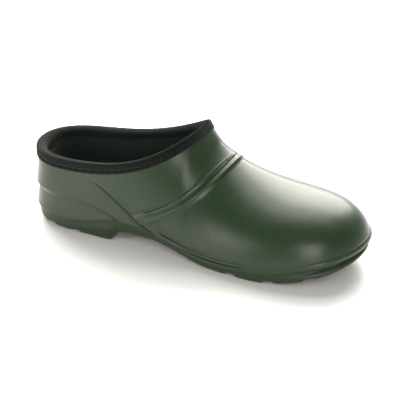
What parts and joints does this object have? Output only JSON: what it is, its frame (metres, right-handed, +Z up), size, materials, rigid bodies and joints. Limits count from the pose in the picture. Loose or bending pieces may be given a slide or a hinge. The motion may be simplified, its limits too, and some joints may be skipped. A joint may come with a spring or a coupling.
{
  "type": "garden clog",
  "caption": "Closed-toe rubber garden clog for the right foot with a low open collar, textile-bound edge, textile lining, loose footbed and lugged heeled sole.",
  "frame": {"origin": "centre of the bounding box on the ground plane under the sole", "axes": "+X from heel to toe, +Z up, -Y to the lateral side of the right foot"},
  "size_m": [0.2918, 0.1095, 0.098],
  "materials": {
    "sole_rubber": "satin, moulded",
    "upper_rubber": "semi-gloss, smooth moulded",
    "trim_rubber": "semi-gloss, smooth moulded",
    "filler_sponge": "open sponge",
    "insole_board": "pressed fibre",
    "footbed_foam": "closed-cell foam, matt",
    "footbed_textile": "brushed knit",
    "stiffener_board": "pressed fibre",
    "lining_textile": "brushed knit",
    "seam_tape": "plain weave",
    "binding_tape": "ribbed knit tape",
    "thread": "twisted thread"
  },
  "bodies": {
    "root": {"outsole": "sole_rubber", "bottom_filler": "filler_sponge", "insole_board": "insole_board", "footbed": "footbed_foam", "footbed_cover": "footbed_textile", "heel_counter": "upper_rubber", "vamp": "upper_rubber", "quarter": "upper_rubber", "instep_trim": "trim_rubber", "foxing_strip": "trim_rubber", "heel_stiffener": "stiffener_board", "vamp_lining": "lining_textile", "quarter_lining": "lining_textile", "back_seam_tape": "seam_tape", "top_binding": "binding_tape", "binding_stitches": "thread"}
  },
  "joints": []
}
